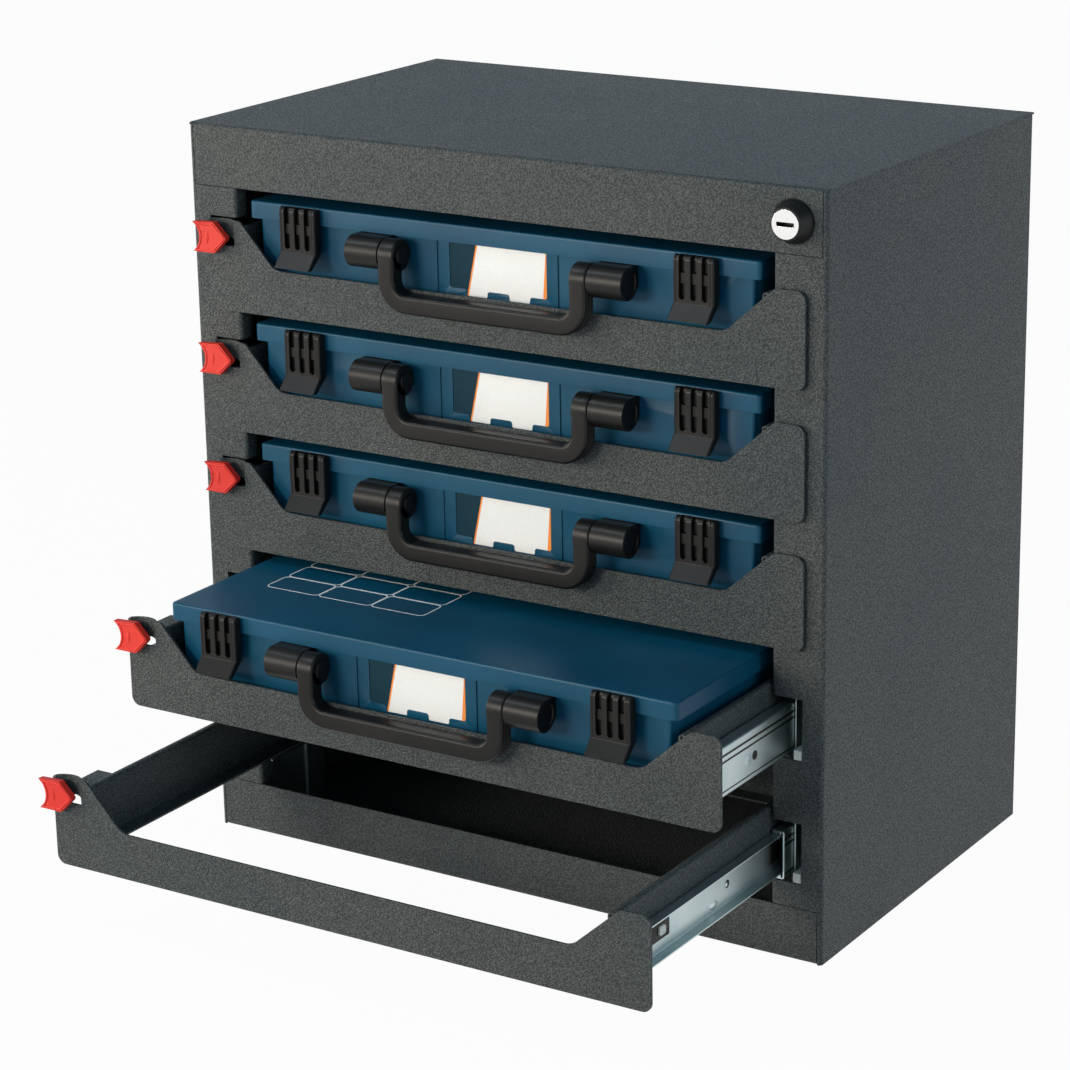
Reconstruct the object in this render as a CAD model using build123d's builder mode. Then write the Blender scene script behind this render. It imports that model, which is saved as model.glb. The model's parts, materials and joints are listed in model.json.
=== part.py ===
"""Assortment case tower: a sheet-steel cabinet with five trays on ball slides, four of them
carrying a latched parts case. Millimetres, +Z up, front towards -Y, origin at the centre
of the cabinet's base."""

import os
from math import cos, radians, sin

from build123d import *

os.makedirs("parts", exist_ok=True)

# Cabinet sheet work
CAB_W = 510.0
CAB_D = 315.0
CAB_H = 535.0
SHEET = 1.5
BEND_R = 3.0
TOP_FLANGE = 44.0
PLINTH = 38.5
COLUMN_W = 39.0
COLUMN_RETURN = 12.0
REAR_FLANGE = 15.0
CORNER_STRIP = 3.4
SEAM = 0.4

# Drawer fronts, heights counted from a plate's underside
DRAWERS = 5
PLATE_LIFT = 7.5
PLATE_T = 2.0
PLATE_GAP = 1.2
PLATE_MARGIN = 14.0
PLATE_LOW = 33.5
EAR_H = 66.0
RAMP_FOOT = 59.0
EAR_RIGHT = 22.4
EAR_LEFT = 29.6
PLATE_CORNER_R = 7.0
RAMP_FOOT_R = 14.0
EAR_TOP_R = 9.0

# Trays
TRAY_GAP = 1.3
REAR_ROOM = 12.0
SEAT_Z = 24.0
SEAT_W = 20.0
TRAY_TOP = 62.0
TRAY_RIM = 6.2
TRAY_SKIRT = 18.0
TRAY_BEND_R = 2.5
REAR_SEAT = 14.0
FRONT_RAIL_H = 8.0

# Ball slides, widths counted out from the tray wall
SLIDE_Z = 28.8
SLIDE_LEN = 290.0
SLIDE_SET = 14.0
SLIDE_GAUGE = 1.2
SLIDE_BEND_R = 1.8
INNER_H = 29.0
INNER_DEPTH = 8.5
MIDDLE_H = 35.0
MIDDLE_DEPTH = 9.3
OUTER_H = 45.0
SLIDE_THICK = 12.7
STAGE_GAP = 0.4
CAGE_GAP = 0.3
CAGE_LEN = 90.0
NOTCH_BOTTOM = 10.6
NOTCH_TOP = 54.4
NOTCH_TOP_LEFT = 67.5
NOTCH_W = 23.0
POST_W = 25.0
POST_FRONT_Y = 70.0
POST_REAR_Y = 260.0
SCREW_HEAD_R = 3.6
SCREW_HEAD_T = 1.8
SCREW_FROM_END = 29.0

# How far the lower two drawers stand open
DRAWER_4_OUT = 110.0
DRAWER_5_OUT = 199.0

# Red thumb lever and the slot in the left ear
SLOT_Z = 47.5
SLOT_H = 5.0
SLOT_LEN = 24.5
SCOOP_DEPTH = 5.0
SCOOP_LIP = 3.0
STRIP_CORNER_R = 2.8
LEVER_T = 5.0
LEVER_GAP = 2.0
LEVER_TOP = 65.0
LEVER_BOTTOM = 42.6
LEVER_TAIL = 7.3
LEVER_TIP = 22.5
LEVER_NECK = 11.5
LEVER_HOLLOW = 6.0
LEVER_SLOPE = 1.0
LEVER_EDGE_R = 2.0
ARM_W = 5.0
ARM_GAP = 0.3
ARM_LEN = 32.0
PIVOT_PIN_R = 1.5
PIVOT_WALL = 1.12
RUNNING_FIT = 0.06
BRACKET_LEN = 22.0

# Cases
CASES = 4
CASE_GAP = 7.45
CASE_SET = 2.5
CASE_END_GAP = 1.5
CASE_HEADROOM = 8.0
CASE_WALL = 2.0
CASE_CORNER_R = 8.0
LID_RIM = 12.4
LID_EDGE_R = 1.6
BASE_INSET = 4.2
POCKET_W = 78.6
POCKET_BOTTOM = 31.0
POCKET_DEPTH = 0.8
POCKET_CORNER_R = 2.0
TAB_H = 5.0
TAB_GAP_W = 16.8
TAB_GAP_X = 17.2
GROOVE_X = 48.8
GROOVE_W = 1.4

# Case latches
LATCH_W = 30.5
LATCH_FROM_SIDE = 46.2
LATCH_T = 7.2
LATCH_BOTTOM = 39.0
LATCH_LIP = 10.0
LATCH_LIP_T = 4.0
LATCH_FLARE = 8.5
LATCH_GAP = 0.4
LATCH_PIVOT_DROP = 3.8
TROUGH_COUNT = 3
TROUGH_W = 4.6
TROUGH_DEPTH = 2.6
TROUGH_PITCH = 8.6
TROUGH_STEP_H = 8.0
LUG_W = 2.5
KEEPER_H = 5.6

# Case handle
HUB_X = 111.3
HUB_R = 11.3
HUB_DROP = 23.9
HUB_STAND = 8.1
HUB_PIN_R = 4.0
HUB_CAP_R = 8.8
HUB_CAP_DEPTH = 1.0
FOOT_GAP = 0.4
FOOT_DROP = 3.8
LEG_W = 13.0
LEG_T = 13.0
LEG_X = 77.2
LEG_SET = 4.9
GRIP_DROP = 31.9
GRIP_BEND_R = 15.5
LEG_EDGE_R = 2.5
EYE_WALL = 2.0
PIN_END = 2.5
EYE_BOSS_R = 6.3
EYE_BOSS_T = 1.2
HUB_GAP = 0.3
RIB_GAPS = 4
RIB_PITCH = 2.2
RIB_GAP_W = 0.9
RIB_DEPTH = 0.7

# Lock
LOCK_FROM_SIDE = 24.5
LOCK_FROM_TOP = 22.6
COLLAR_R = 14.7
COLLAR_TIP_R = 10.8
COLLAR_RIM = 2.0
COLLAR_L = 11.0
BARREL_R = 9.0
BARREL_BACK = 14.0
BARREL_FACE_R = 9.7
BARREL_FACE_T = 0.8
KEY_W = 12.6
KEY_H = 2.8
KEY_DEPTH = 6.0
CRANK_R = 5.66
CRANK_PIN_R = 1.5
CRANK_T = 2.5
YOKE_GAP = 0.5
YOKE_SLIDE = 6.0
LOCK_BAR_W = 12.0
LOCK_BAR_T = 3.0
LOCK_BAR_GAP = 0.3
YOKE_H = 16.0
CATCH_W = 6.2
CATCH_H = 7.0
CATCH_INSET = 0.3
CRANK_ANGLE = 45.0

# How far a cutting tool runs past what it cuts
OVERCUT = 1.0

# Places that follow from the sizes above
FRONT = -CAB_D / 2
BACK = CAB_D / 2
SIDE = CAB_W / 2
OPEN_X = SIDE - COLUMN_W
OPEN_TOP = CAB_H - TOP_FLANGE
PITCH = (OPEN_TOP - PLINTH - PLATE_LIFT) / DRAWERS
NOTCH_X = OPEN_X + NOTCH_W
PLATE_X = SIDE - PLATE_MARGIN
PLATE_BACK = FRONT - PLATE_GAP
PLATE_FRONT = PLATE_BACK - PLATE_T
TRAY_X = OPEN_X - TRAY_GAP
TRAY_REAR = BACK - SHEET - REAR_ROOM
TRAY_LEN = TRAY_REAR - PLATE_BACK
POST_X = TRAY_X + SLIDE_THICK
CASE_FRONT = FRONT + CASE_SET
CASE_REAR = TRAY_REAR - SHEET - CASE_END_GAP
CASE_W = 2 * (TRAY_X - SHEET - CASE_GAP)
CASE_D = CASE_REAR - CASE_FRONT
CASE_MID = (CASE_FRONT + CASE_REAR) / 2
BASE_FRONT = CASE_FRONT + BASE_INSET
CASE_H = PITCH - SEAT_Z - CASE_HEADROOM
LID_TOP = SEAT_Z + CASE_H
LID_UNDER = LID_TOP - CASE_WALL
RIM_Z = LID_TOP - LID_RIM
HUB_Y = CASE_FRONT - HUB_STAND
HUB_Z = LID_TOP - HUB_DROP
LATCH_X = CASE_W / 2 - LATCH_FROM_SIDE
KEEPER_Z = LATCH_BOTTOM + LATCH_LIP
LOCK_X = SIDE - LOCK_FROM_SIDE
LOCK_Z = CAB_H - LOCK_FROM_TOP


def plate_z(number):
    """Height of the underside of a drawer's front plate, the top drawer being number 1."""
    return PLINTH + PLATE_LIFT + PITCH * (DRAWERS - number)


def drawer_out(number):
    """How far a drawer stands open."""
    return {4: DRAWER_4_OUT, 5: DRAWER_5_OUT}.get(number, 0.0)


def middle_out(number):
    """How far a drawer's middle slide members stand out: the fifth drawer's are still at home."""
    return DRAWER_4_OUT if number == 4 else 0.0


def block(low, high, mode=Mode.ADD):
    """A box from its lowest to its highest corner, in the part that is open."""
    size = [b - a for a, b in zip(low, high)]
    middle = tuple((a + b) / 2 for a, b in zip(low, high))
    with Locations(middle):
        Box(*size, mode=mode)


def cross_rod(radius, start, end, centre_y, centre_z, mode=Mode.ADD):
    """A round rod along X from start to end, in the part that is open."""
    with Locations(Location(((start + end) / 2, centre_y, centre_z), (0, 90, 0))):
        Cylinder(radius, abs(end - start), mode=mode)


def save(piece, name, shift=(0.0, 0.0, 0.0)):
    """Writes one piece at its place as a node of its own."""
    placed = piece.moved(Location(shift))
    placed.label = name
    export_step(placed, f"parts/{name}.step")


def side_panel(notch_top):
    """The right side: web, front column with its return, rear flange and slide notches."""
    with BuildPart() as panel:
        with BuildSketch():
            with BuildLine():
                FilletPolyline(
                    (OPEN_X, FRONT + COLUMN_RETURN),
                    (OPEN_X, FRONT),
                    (SIDE, FRONT),
                    (SIDE, BACK - SHEET),
                    (SIDE - REAR_FLANGE, BACK - SHEET),
                    radius=BEND_R,
                )
                offset(amount=SHEET, side=Side.LEFT)
            make_face()
        extrude(amount=CAB_H - SHEET)
        for low, high in ((OPEN_TOP - SEAM, CAB_H), (0, PLINTH + SEAM)):
            block(
                (OPEN_X - SHEET, FRONT - SHEET, low),
                (SIDE - CORNER_STRIP, FRONT + COLUMN_RETURN + SHEET, high),
                mode=Mode.SUBTRACT,
            )
        block(
            (SIDE - REAR_FLANGE - SHEET, BACK - SHEET - BEND_R, CAB_H - SHEET - BEND_R),
            (SIDE - CORNER_STRIP, BACK, CAB_H),
            mode=Mode.SUBTRACT,
        )
        for number in range(1, DRAWERS + 1):
            block(
                (OPEN_X - SHEET, FRONT - SHEET, plate_z(number) + NOTCH_BOTTOM),
                (NOTCH_X, FRONT + COLUMN_RETURN + SHEET, plate_z(number) + notch_top),
                mode=Mode.SUBTRACT,
            )
    return panel


side_panel_right = side_panel(NOTCH_TOP)
side_panel_left = side_panel(NOTCH_TOP_LEFT)
save(side_panel_right.part, "side_panel_right")
save(side_panel_left.part.mirror(Plane.YZ), "side_panel_left")

# The top lies over both sides and folds down in front and behind
with BuildPart() as top_panel:
    with BuildSketch(Plane.YZ.offset(-SIDE)):
        with BuildLine():
            FilletPolyline(
                (FRONT, OPEN_TOP),
                (FRONT, CAB_H),
                (BACK, CAB_H),
                (BACK, CAB_H - REAR_FLANGE),
                radius=BEND_R,
            )
            offset(amount=SHEET, side=Side.RIGHT)
        make_face()
    extrude(amount=CAB_W)
    for side in (-1, 1):
        strip = sorted((side * (SIDE - CORNER_STRIP - SEAM), side * (SIDE + SHEET)))
        block(
            (strip[0], FRONT - SHEET, 0),
            (strip[1], BACK + SHEET, CAB_H - SHEET),
            mode=Mode.SUBTRACT,
        )
    with Locations(Location((LOCK_X, FRONT + SHEET / 2, LOCK_Z), (90, 0, 0))):
        Cylinder(BARREL_R + RUNNING_FIT, SHEET + 2 * OVERCUT, mode=Mode.SUBTRACT)
save(top_panel.part, "top_panel")

# The base folds up in front as the plinth and behind as a short flange
with BuildPart() as base_plinth:
    with BuildSketch(Plane.YZ.offset(SHEET - SIDE)):
        with BuildLine():
            FilletPolyline(
                (FRONT, PLINTH),
                (FRONT, 0),
                (BACK - SHEET, 0),
                (BACK - SHEET, REAR_FLANGE),
                radius=BEND_R,
            )
            offset(amount=SHEET, side=Side.LEFT)
        make_face()
    extrude(amount=CAB_W - 2 * SHEET)
    for side in (-1, 1):
        strip = sorted((side * (SIDE - CORNER_STRIP - SEAM), side * SIDE))
        block(
            (strip[0], FRONT - SHEET, -SHEET),
            (strip[1], FRONT + BEND_R, PLINTH + SHEET),
            mode=Mode.SUBTRACT,
        )
        flange = sorted((side * (SIDE - REAR_FLANGE - SEAM), side * SIDE))
        block(
            (flange[0], BACK - BEND_R - SHEET, -SHEET),
            (flange[1], BACK, REAR_FLANGE + SHEET),
            mode=Mode.SUBTRACT,
        )
save(base_plinth.part, "base_plinth")

with BuildPart() as back_panel:
    block((-SIDE + CORNER_STRIP, BACK - SHEET, 0), (SIDE - CORNER_STRIP, BACK, CAB_H - REAR_FLANGE - SEAM))
save(back_panel.part, "back_panel")

# Two upright channels on each side carry the slides clear of the side panel
with BuildPart() as slide_posts:
    for start in (POST_FRONT_Y, POST_REAR_Y):
        with BuildSketch(Plane.XY.offset(SHEET)):
            with BuildLine():
                FilletPolyline(
                    (SIDE - SHEET, FRONT + start),
                    (POST_X, FRONT + start),
                    (POST_X, FRONT + start + POST_W),
                    (SIDE - SHEET, FRONT + start + POST_W),
                    radius=BEND_R,
                )
                offset(amount=SHEET, side=Side.RIGHT)
            make_face()
        extrude(amount=OPEN_TOP - SHEET)
    mirror(about=Plane.YZ)
save(slide_posts.part, "slide_posts")


def member_sketch(height, near, far, opens_out):
    """A channel section for one slide member: near and far are its distances from the tray
    wall, and the channel opens away from the tray or towards it."""
    web, lip = (near, far) if opens_out else (far, near)
    with BuildSketch(Plane.XZ) as section:
        with BuildLine():
            FilletPolyline(
                (TRAY_X + lip, SLIDE_Z + height / 2),
                (TRAY_X + web, SLIDE_Z + height / 2),
                (TRAY_X + web, SLIDE_Z - height / 2),
                (TRAY_X + lip, SLIDE_Z - height / 2),
                radius=SLIDE_BEND_R,
            )
            offset(amount=SLIDE_GAUGE, side=Side.LEFT if opens_out else Side.RIGHT)
        make_face()
    return section.sketch


MIDDLE_WEB = SLIDE_THICK - SLIDE_GAUGE - STAGE_GAP
MIDDLE_LIP = MIDDLE_WEB - MIDDLE_DEPTH

# Drawer members, screwed to the tray walls from inside
with BuildPart() as slide_inner:
    extrude(member_sketch(INNER_H, 0, INNER_DEPTH, True), amount=SLIDE_LEN)
    for screw_y in (-SCREW_FROM_END, -SLIDE_LEN / 2, SCREW_FROM_END - SLIDE_LEN):
        cross_rod(SCREW_HEAD_R, TRAY_X - SHEET - SCREW_HEAD_T, TRAY_X - SHEET, screw_y, SLIDE_Z)
    mirror(about=Plane.YZ)

# Middle members with the ball cages on both of their flanges
with BuildPart() as slide_middle:
    extrude(member_sketch(MIDDLE_H, MIDDLE_LIP, MIDDLE_WEB, False), amount=SLIDE_LEN)
    for near, far, end in (
        (INNER_H / 2 + CAGE_GAP, MIDDLE_H / 2 - SLIDE_GAUGE, -SLIDE_LEN),
        (MIDDLE_H / 2, OUTER_H / 2 - SLIDE_GAUGE - CAGE_GAP, -SLIDE_LEN / 2),
    ):
        for sign in (-1, 1):
            faces = sorted((SLIDE_Z + sign * near, SLIDE_Z + sign * far))
            block(
                (TRAY_X + MIDDLE_LIP, end, faces[0]),
                (TRAY_X + INNER_DEPTH, end + CAGE_LEN, faces[1]),
            )
    mirror(about=Plane.YZ)

with BuildPart() as slide_outer:
    extrude(member_sketch(OUTER_H, MIDDLE_LIP, SLIDE_THICK, False), amount=SLIDE_LEN)
    mirror(about=Plane.YZ)

OUTER_SHIFT = FRONT + SLIDE_SET + SLIDE_LEN
MIDDLE_SHIFT = FRONT + SEAM + SLIDE_LEN
INNER_SHIFT = PLATE_BACK + SLIDE_LEN

outers = [
    slide_outer.part.moved(Location((0, OUTER_SHIFT, plate_z(number))))
    for number in range(1, DRAWERS + 1)
]
with BuildPart() as slide_outers:
    add(outers)
save(slide_outers.part, "slide_outers")

PIVOT_X = -(NOTCH_X - ARM_GAP - PIVOT_PIN_R - PIVOT_WALL - RUNNING_FIT)
PIVOT_Y = PLATE_BACK + ARM_LEN
BRACKET_Z = SLIDE_Z + OUTER_H / 2 + SHEET

# Front plate with a low middle, two ears and the lever's slot and scoop in the left ear
with BuildPart() as front_plate:
    with BuildSketch(Plane.XZ.offset(-PLATE_BACK)):
        with BuildLine():
            FilletPolyline(
                (-PLATE_X, 0),
                (PLATE_X, 0),
                (PLATE_X, EAR_H),
                (PLATE_X - EAR_RIGHT, EAR_H),
                (PLATE_X - RAMP_FOOT, PLATE_LOW),
                (-PLATE_X + RAMP_FOOT, PLATE_LOW),
                (-PLATE_X + EAR_LEFT, EAR_H),
                (-PLATE_X, EAR_H),
                radius=(
                    PLATE_CORNER_R,
                    PLATE_CORNER_R,
                    PLATE_CORNER_R,
                    EAR_TOP_R,
                    RAMP_FOOT_R,
                    RAMP_FOOT_R,
                    PLATE_CORNER_R / 2,
                    PLATE_CORNER_R / 2,
                ),
                close=True,
            )
        make_face()
    extrude(amount=PLATE_T)
    slot_end = -PLATE_X + SLOT_LEN
    block(
        (-PLATE_X - OVERCUT, PLATE_FRONT - OVERCUT, SLOT_Z),
        (slot_end, PLATE_BACK + OVERCUT, EAR_H + OVERCUT),
        mode=Mode.SUBTRACT,
    )
    with BuildSketch(Plane.XY.offset(SLOT_Z + SLOT_H)):
        with BuildLine():
            scoop_mid = (slot_end - PLATE_X + SCOOP_LIP) / 2
            ThreePointArc(
                (slot_end, PLATE_FRONT),
                (scoop_mid, PLATE_FRONT + SCOOP_DEPTH),
                (-PLATE_X + SCOOP_LIP, PLATE_FRONT),
            )
            Line((-PLATE_X + SCOOP_LIP, PLATE_FRONT), (-PLATE_X, PLATE_FRONT))
            offset(amount=PLATE_T, side=Side.RIGHT)
        make_face()
    extrude(amount=EAR_H - SLOT_Z - SLOT_H)
    strip_corner = front_plate.edges().filter_by(Axis.Y).sort_by(Axis.Z)[-4:].sort_by(Axis.X)[0]
    fillet(strip_corner, radius=STRIP_CORNER_R)

# Open tray frame: a folded rail on each side, front and rear rails with seats for the
# case, and the lever's pivot bracket
with BuildPart() as tray_frame:
    with BuildSketch(Plane.XZ.offset(-TRAY_REAR)):
        with BuildLine():
            FilletPolyline(
                (TRAY_X - SEAT_W, SEAT_Z),
                (TRAY_X - TRAY_RIM, SEAT_Z),
                (TRAY_X - TRAY_RIM, TRAY_TOP),
                (TRAY_X, TRAY_TOP),
                (TRAY_X, TRAY_SKIRT),
                radius=TRAY_BEND_R,
            )
            offset(amount=SHEET, side=Side.RIGHT)
        make_face()
    extrude(amount=TRAY_LEN)
    mirror(about=Plane.YZ)
    rail_x = TRAY_X - TRAY_RIM + SHEET / 2
    for low, high in (
        ((PLATE_BACK, SEAT_Z - SHEET), (PLATE_BACK + REAR_SEAT, SEAT_Z)),
        ((PLATE_BACK, SEAT_Z - SHEET), (PLATE_BACK + SHEET, SEAT_Z + FRONT_RAIL_H)),
        ((TRAY_REAR - REAR_SEAT, SEAT_Z - SHEET), (TRAY_REAR, SEAT_Z)),
        ((TRAY_REAR - SHEET, SEAT_Z - SHEET), (TRAY_REAR, TRAY_TOP)),
    ):
        block((-rail_x, *low), (rail_x, *high))
    block(
        (-NOTCH_X + ARM_GAP, PIVOT_Y - BRACKET_LEN / 2, BRACKET_Z),
        (-TRAY_X + SHEET / 2, PIVOT_Y + BRACKET_LEN / 2, BRACKET_Z + SHEET),
    )
    with Locations((PIVOT_X, PIVOT_Y, (BRACKET_Z + SLOT_Z - SHEET) / 2)):
        Cylinder(PIVOT_PIN_R, BRACKET_Z - SLOT_Z + SHEET)

# Thumb lever: a hollow-backed arrow in front, an arm through the slot and an eye on its pin
with BuildPart() as catch_lever:
    head_back = PLATE_FRONT - LEVER_GAP
    tail_x = -PLATE_X - LEVER_TAIL
    lever_mid = (LEVER_TOP + LEVER_BOTTOM) / 2
    with BuildSketch(Plane.XZ.offset(-head_back)):
        with BuildLine():
            Polyline(
                (tail_x, LEVER_TOP - LEVER_SLOPE),
                (-PLATE_X + LEVER_NECK, LEVER_TOP),
                (-PLATE_X + LEVER_TIP, lever_mid),
                (-PLATE_X + LEVER_NECK, LEVER_BOTTOM),
                (tail_x, LEVER_BOTTOM),
            )
            ThreePointArc(
                (tail_x, LEVER_BOTTOM),
                (tail_x + LEVER_HOLLOW, lever_mid),
                (tail_x, LEVER_TOP - LEVER_SLOPE),
            )
        make_face()
    extrude(amount=LEVER_T)
    edges_up = catch_lever.edges().filter_by(Axis.Y).sort_by(Axis.X)[2:]
    fillet(edges_up, radius=LEVER_EDGE_R)
    block(
        (PIVOT_X - ARM_W / 2, head_back - LEVER_T / 2, SLOT_Z + ARM_GAP),
        (PIVOT_X + ARM_W / 2, PIVOT_Y, SLOT_Z + SLOT_H - ARM_GAP),
    )
    eye_base = SLOT_Z - SHEET
    eye_top = BRACKET_Z - ARM_GAP
    with Locations((PIVOT_X, PIVOT_Y, (eye_base + eye_top) / 2)):
        Cylinder(PIVOT_PIN_R + RUNNING_FIT + PIVOT_WALL, eye_top - eye_base)
        Cylinder(PIVOT_PIN_R + RUNNING_FIT, eye_top - eye_base + 2 * OVERCUT, mode=Mode.SUBTRACT)

# Case base: a deep box with a label pocket and its tabs, grooves and the latch keepers
with BuildPart() as case_base:
    half_w = CASE_W / 2 - BASE_INSET
    depth = CASE_D - 2 * BASE_INSET
    with BuildSketch(Plane.XY.offset(SEAT_Z)):
        with Locations((0, CASE_MID)):
            RectangleRounded(2 * half_w, depth, CASE_CORNER_R)
    extrude(amount=LID_UNDER - SEAT_Z)
    with BuildSketch(Plane.XY.offset(SEAT_Z + CASE_WALL)):
        with Locations((0, CASE_MID)):
            RectangleRounded(2 * (half_w - CASE_WALL), depth - 2 * CASE_WALL, CASE_CORNER_R - CASE_WALL)
    extrude(amount=CASE_H, mode=Mode.SUBTRACT)
    with BuildSketch(Plane.XZ.offset(-BASE_FRONT)) as pocket:
        with Locations((0, (POCKET_BOTTOM + TAB_H + RIM_Z) / 2)):
            Rectangle(POCKET_W, RIM_Z - POCKET_BOTTOM - TAB_H)
        with Locations((-TAB_GAP_X, POCKET_BOTTOM + TAB_H), (TAB_GAP_X, POCKET_BOTTOM + TAB_H)):
            Rectangle(TAB_GAP_W, 2 * TAB_H)
        fillet(pocket.vertices(), radius=POCKET_CORNER_R)
    extrude(amount=-POCKET_DEPTH, mode=Mode.SUBTRACT)
    for side in (-1, 1):
        block(
            (side * GROOVE_X - GROOVE_W / 2, BASE_FRONT - OVERCUT, SEAT_Z + 2 * CASE_WALL),
            (side * GROOVE_X + GROOVE_W / 2, BASE_FRONT + POCKET_DEPTH, RIM_Z),
            mode=Mode.SUBTRACT,
        )
        block(
            (side * LATCH_X - LATCH_W / 2 + LUG_W, CASE_FRONT + LATCH_GAP, KEEPER_Z),
            (side * LATCH_X + LATCH_W / 2 - LUG_W, BASE_FRONT + CASE_WALL / 2, KEEPER_Z + KEEPER_H),
        )

LATCH_PIVOT_Z = LID_TOP - LATCH_PIVOT_DROP
LATCH_BACK = CASE_FRONT - LATCH_GAP
LATCH_PIVOT_Y = LATCH_BACK - LATCH_T / 2

# Lid with a pair of lugs for each latch
with BuildPart() as case_lid:
    with BuildSketch(Plane.XY.offset(RIM_Z)):
        with Locations((0, CASE_MID)):
            RectangleRounded(CASE_W, CASE_D, CASE_CORNER_R)
    extrude(amount=LID_RIM)
    fillet(case_lid.faces().sort_by(Axis.Z)[-1].edges(), radius=LID_EDGE_R)
    with BuildSketch(Plane.XY.offset(RIM_Z)):
        with Locations((0, CASE_MID)):
            RectangleRounded(CASE_W - 2 * CASE_WALL, CASE_D - 2 * CASE_WALL, CASE_CORNER_R - CASE_WALL)
    extrude(amount=LID_RIM - CASE_WALL, mode=Mode.SUBTRACT)
    for side in (-1, 1):
        for edge in (-1, 1):
            near = side * LATCH_X + edge * (LATCH_W / 2 + LATCH_GAP)
            lug = sorted((near, near + edge * LUG_W))
            block(
                (lug[0], CASE_FRONT - LATCH_T, LATCH_PIVOT_Z - LATCH_T / 2),
                (lug[1], CASE_FRONT + CASE_WALL / 2, LATCH_PIVOT_Z + LATCH_T / 2),
            )

# One latch: a swinging plate with a rolled top, long grooves and a flared lip
with BuildPart() as latch:
    with BuildSketch(Plane.YZ.offset(-LATCH_W / 2)):
        with BuildLine():
            Polyline(
                (LATCH_BACK, LATCH_PIVOT_Z),
                (LATCH_BACK, LATCH_BOTTOM + LATCH_LIP),
                (LATCH_BACK - LATCH_T - LATCH_FLARE + LATCH_LIP_T, LATCH_BOTTOM),
                (LATCH_BACK - LATCH_T - LATCH_FLARE, LATCH_BOTTOM),
                (LATCH_BACK - LATCH_T, LATCH_BOTTOM + LATCH_LIP),
                (LATCH_BACK - LATCH_T, LATCH_PIVOT_Z),
            )
            ThreePointArc(
                (LATCH_BACK - LATCH_T, LATCH_PIVOT_Z),
                (LATCH_PIVOT_Y, LATCH_PIVOT_Z + LATCH_T / 2),
                (LATCH_BACK, LATCH_PIVOT_Z),
            )
        make_face()
    extrude(amount=LATCH_W)
    trough_low = LATCH_BOTTOM + LATCH_LIP + TROUGH_W
    trough_len = LATCH_PIVOT_Z + LATCH_T - trough_low
    with BuildSketch(Plane.XZ.offset(-(LATCH_BACK - LATCH_T))):
        with GridLocations(TROUGH_PITCH, 1, TROUGH_COUNT, 1):
            with Locations((0, trough_low + trough_len / 2)):
                SlotCenterToCenter(trough_len, TROUGH_W, rotation=90)
    extrude(amount=-TROUGH_DEPTH, mode=Mode.SUBTRACT)
    # The middle of each trough is only half as deep
    with BuildSketch(Plane.XZ.offset(-(LATCH_BACK - LATCH_T + TROUGH_DEPTH / 2))):
        with GridLocations(TROUGH_PITCH, 1, TROUGH_COUNT, 1):
            with Locations((0, (trough_low + LATCH_PIVOT_Z) / 2)):
                Rectangle(TROUGH_W, TROUGH_STEP_H)
    extrude(amount=-TROUGH_DEPTH / 2)

HANDLE_Y = HUB_Y - LEG_SET
EYE_END = LEG_X + LEG_W / 2

# Handle: grip and legs in one bow, ribbed outside, with a blind eye at the top of each leg
with BuildPart() as handle:
    with BuildLine() as bow:
        FilletPolyline(
            (-LEG_X, HANDLE_Y, HUB_Z),
            (-LEG_X, HANDLE_Y, HUB_Z - GRIP_DROP),
            (LEG_X, HANDLE_Y, HUB_Z - GRIP_DROP),
            (LEG_X, HANDLE_Y, HUB_Z),
            radius=GRIP_BEND_R,
        )
    with BuildSketch(Plane(origin=bow.line @ 0, x_dir=(1, 0, 0), z_dir=bow.line % 0)):
        RectangleRounded(LEG_W, LEG_T, LEG_EDGE_R)
        with Locations((-LEG_W / 2, 0)):
            with GridLocations(1, RIB_PITCH, 1, RIB_GAPS):
                Rectangle(2 * RIB_DEPTH, RIB_GAP_W, mode=Mode.SUBTRACT)
    sweep(path=bow.line)
    for side in (-1, 1):
        cross_rod(HUB_R, side * (LEG_X - LEG_W / 2), side * EYE_END, HUB_Y, HUB_Z)
        boss = sorted((side * (LEG_X - LEG_W / 2 - EYE_BOSS_T), side * (LEG_X - LEG_W / 2)))
        cross_rod(EYE_BOSS_R, boss[0], boss[1], HUB_Y, HUB_Z)
        cross_rod(
            HUB_PIN_R + RUNNING_FIT,
            side * (LEG_X - LEG_W / 2 + EYE_WALL),
            side * (EYE_END + OVERCUT),
            HUB_Y,
            HUB_Z,
            mode=Mode.SUBTRACT,
        )

# Handle mounts: a hub on a foot against the case, with the stub axle for the eye
with BuildPart() as handle_mounts:
    with BuildSketch(Plane.YZ.offset(EYE_END + HUB_GAP)):
        with Locations((HUB_Y, HUB_Z)):
            Circle(HUB_R)
        with BuildLine():
            Polyline(
                (HUB_Y, RIM_Z - FOOT_GAP),
                (BASE_FRONT, RIM_Z - FOOT_GAP),
                (BASE_FRONT, HUB_Z - FOOT_DROP),
                (HUB_Y, HUB_Z - HUB_R),
                close=True,
            )
        make_face()
    extrude(amount=HUB_X - EYE_END - HUB_GAP)
    cross_rod(HUB_CAP_R, HUB_X - HUB_CAP_DEPTH, HUB_X + OVERCUT, HUB_Y, HUB_Z, mode=Mode.SUBTRACT)
    cross_rod(HUB_PIN_R, LEG_X - LEG_W / 2 + PIN_END, HUB_X - 2 * HUB_CAP_DEPTH, HUB_Y, HUB_Z)
    mirror(about=Plane.YZ)

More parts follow.
